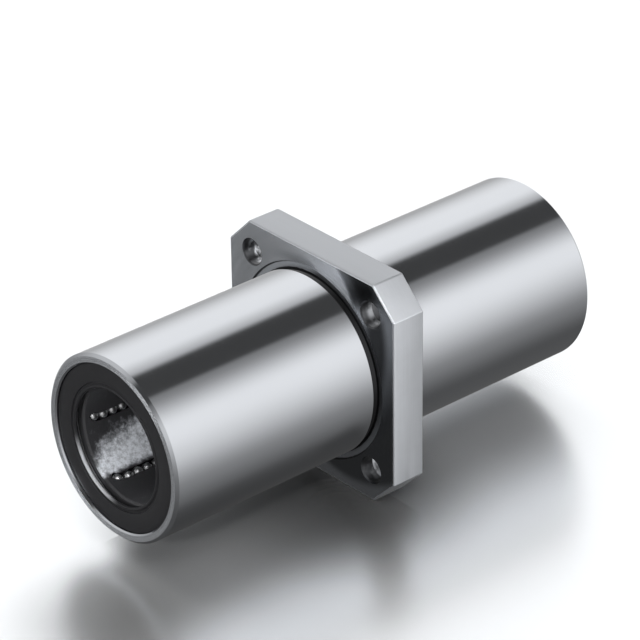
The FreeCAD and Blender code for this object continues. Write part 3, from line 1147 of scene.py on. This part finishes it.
def floor_finish(studio):
    """Polished white floor that blurs the bearing's reflection, with painted shadow near and in front of it from
    ambient occlusion and two painted spots.
    """
    material = bpy.data.materials.new("studio_floor")
    tree = Tree(empty_tree(material))
    mirror = {"Color": (0.95, 0.975, 1.0, 1.0), "Roughness": studio.floor_roughness}
    gloss = tree.add("ShaderNodeBsdfGlossy", mirror)["BSDF"]
    matt = tree.add("ShaderNodeBsdfDiffuse", {"Color": (0.95, 0.95, 0.95, 1.0)})["BSDF"]
    black = tree.add("ShaderNodeBsdfDiffuse", {"Color": (0.02, 0.02, 0.02, 1.0)})["BSDF"]
    slant = tree.add("ShaderNodeLayerWeight", {"Blend": 0.5})["Facing"]
    polished = tree.blended(slant.rise(0.05, 0.42) * studio.floor_gloss, matt, gloss)
    open_air = tree.add("ShaderNodeAmbientOcclusion", {"Distance": studio.contact_reach})["AO"]
    place = tree.parts(tree.add("ShaderNodeTexCoord")["Object"])
    # Painted shadow: ambient occlusion and two painted spots mix in near-black
    lit = open_air.rise(-0.8, 0.95)
    for x, y, spread, depth in FLOOR_PAINTED_SHADOWS:
        along, across = place["X"] - x * MM, place["Y"] - y * MM
        distance = (along * along + across * across).math("SQRT")
        lit = lit * (1.0 - (1.0 - distance.rise(2.0 * MM, spread * MM)) * depth)
    seen = tree.add("ShaderNodeLightPath")["Is Camera Ray"]
    chosen = tree.blended(seen, matt, tree.blended(lit, black, polished))
    tree.add("ShaderNodeOutputMaterial", {"Surface": chosen})
    return material


def painted_dark_reflection(fade):
    """Near-black glow of a card seen only in reflections, a painted dark reflection, fading out over a share of
    its height and its ends.
    """
    material = bpy.data.materials.new("studio_shade")
    tree = Tree(empty_tree(material))
    place = tree.parts(tree.add("ShaderNodeTexCoord")["UV"])
    edge_x, edge_y = (1.0 - (place[axis] * 2.0 - 1.0).absolute() for axis in ("X", "Y"))
    dark = edge_x.rise(0.0, 0.35) * edge_y.rise(0.0, fade)
    clear = tree.add("ShaderNodeBsdfTransparent")["BSDF"]
    dim = tree.add("ShaderNodeEmission", {"Color": (1.0, 1.0, 1.0, 1.0), "Strength": DIM_LIGHT})["Emission"]
    tree.add("ShaderNodeOutputMaterial", {"Surface": tree.blended(dark, clear, dim)})
    return material


def card(name, low, high, finish):
    """Level or upright rectangle between two corners above the floor, with its own UV from 0 to 1."""
    level = low[2] == high[2]
    after = (high[0], low[1] if level else high[1], low[2])
    before = (low[0], high[1] if level else low[1], high[2])
    corners = [(x, y, FLOOR_LEVEL + z) for x, y, z in (low, after, high, before)]
    mesh = bpy.data.meshes.new(name)
    mesh.from_pydata(corners, [], [(0, 1, 2, 3)])
    layer = mesh.uv_layers.new(name="place")
    for corner, place in zip(layer.data, ((0, 0), (1, 0), (1, 1), (0, 1))):
        corner.uv = place
    mesh.materials.append(finish)
    return linked(name, mesh)


def lamp(name, kind, direction, distance, aim, **settings):
    """Lamp that shines at a point from a direction and stays out of reflections."""
    light = bpy.data.lights.new(name, kind)
    for setting, value in settings.items():
        setattr(light, setting, value)
    towards = Vector(direction).normalized()
    piece = linked(name, light)
    piece.location = Vector(aim) + towards * distance
    piece.rotation_euler = towards.to_track_quat("Z", "Y").to_euler()
    piece.visible_glossy = False


def camera_axes(studio):
    """The camera's right, up and backward directions."""
    flat = math.cos(studio.elevation)
    backward = Vector((
        math.sin(studio.azimuth) * flat, -math.cos(studio.azimuth) * flat, math.sin(studio.elevation)
    ))
    right = Vector((0, 0, 1)).cross(backward).normalized()
    up = backward.cross(right)
    turn = Matrix.Rotation(studio.roll, 3, backward)
    return turn @ right, turn @ up, backward


class BEARING_OT_stage(bpy.types.Operator):
    """Set the floor, the soft boxes and the camera"""

    bl_idname = "bearing.stage"
    bl_label = "Stage and Camera"

    def execute(self, context):
        studio = context.scene.bearing_studio
        context.scene.world = studio_world()
        context.scene.view_settings.view_transform = "Standard"

        reach = studio.floor_size / 2
        floor = card("floor", (-reach, -reach, 0.0), (reach, reach, 0.0), floor_finish(studio))
        floor.visible_glossy = False
        flags = [card(name, low, high, painted_dark_reflection(fade)) for name, low, high, fade in DARK_REFLECTION_CARDS]
        # Cards stay out of the camera, diffuse light and shadows, so they show only as painted dark reflections
        for flag in flags:
            flag.visible_camera = False
            flag.visible_diffuse = False
            flag.visible_shadow = False
        lamp(
            "top_light", "SUN", direction=(0.25, 0.6, 0.76), distance=1.0, aim=(0, 0, 0),
            energy=studio.top_light, angle=math.radians(70),
        )
        lamp(
            "mouth_light", "SPOT", direction=(-0.8, -0.4, 0.45), distance=0.35, aim=(-HALF_LENGTH, 0, 0),
            energy=studio.mouth_light, shadow_soft_size=0.02, spot_size=math.radians(12), spot_blend=1.0,
        )

        right, up, backward = camera_axes(studio)
        lens = bpy.data.cameras.new("camera")
        lens.sensor_width = SENSOR_WIDTH
        lens.lens = studio.focal_length
        camera = linked("camera", lens)
        aim = Vector((-FLANGE_FACE, 0, 0)) + right * studio.offset[0] + up * studio.offset[1]
        place = Matrix((right, up, backward)).transposed().to_4x4()
        place.translation = aim + backward * studio.distance
        camera.matrix_world = place
        context.scene.camera = camera
        return {"FINISHED"}


class BEARING_PT_panel(bpy.types.Panel):
    """Sidebar panel with the bearing's pieces"""

    bl_idname = "BEARING_PT_panel"
    bl_label = "Linear Bearing"
    bl_space_type = "VIEW_3D"
    bl_region_type = "UI"
    bl_category = "Bearing"

    def draw(self, context):
        for piece in PIECES:
            self.layout.operator(piece.bl_idname)
        for settings in SETTINGS:
            box = self.layout.box()
            group = getattr(context.scene, settings)
            for name in group.bl_rna.properties.keys():
                if name not in ("rna_type", "name"):
                    box.prop(group, name)


PIECES = (
    BEARING_OT_sleeve,
    BEARING_OT_flange,
    BEARING_OT_seals,
    BEARING_OT_balls,
    BEARING_OT_cages,
    BEARING_OT_rings,
    BEARING_OT_stage,
)
SETTINGS = {
    "bearing_sleeve": SleeveSizes,
    "bearing_seal": SealSizes,
    "bearing_balls": BallSizes,
    "bearing_finish": Finishes,
    "bearing_studio": Studio,
}


def register():
    for kind in (*SETTINGS.values(), *PIECES, BEARING_PT_panel):
        bpy.utils.register_class(kind)
    for name, kind in SETTINGS.items():
        setattr(bpy.types.Scene, name, PointerProperty(type=kind))


def unregister():
    for name in SETTINGS:
        delattr(bpy.types.Scene, name)
    for kind in (BEARING_PT_panel, *PIECES[::-1], *reversed(SETTINGS.values())):
        bpy.utils.unregister_class(kind)


def main():
    register()
    bpy.ops.bearing.sleeve()
    bpy.ops.bearing.flange()
    bpy.ops.bearing.seals()
    bpy.ops.bearing.balls()
    bpy.ops.bearing.cages()
    bpy.ops.bearing.rings()
    bpy.ops.bearing.stage()


if __name__ == "__main__":
    main()
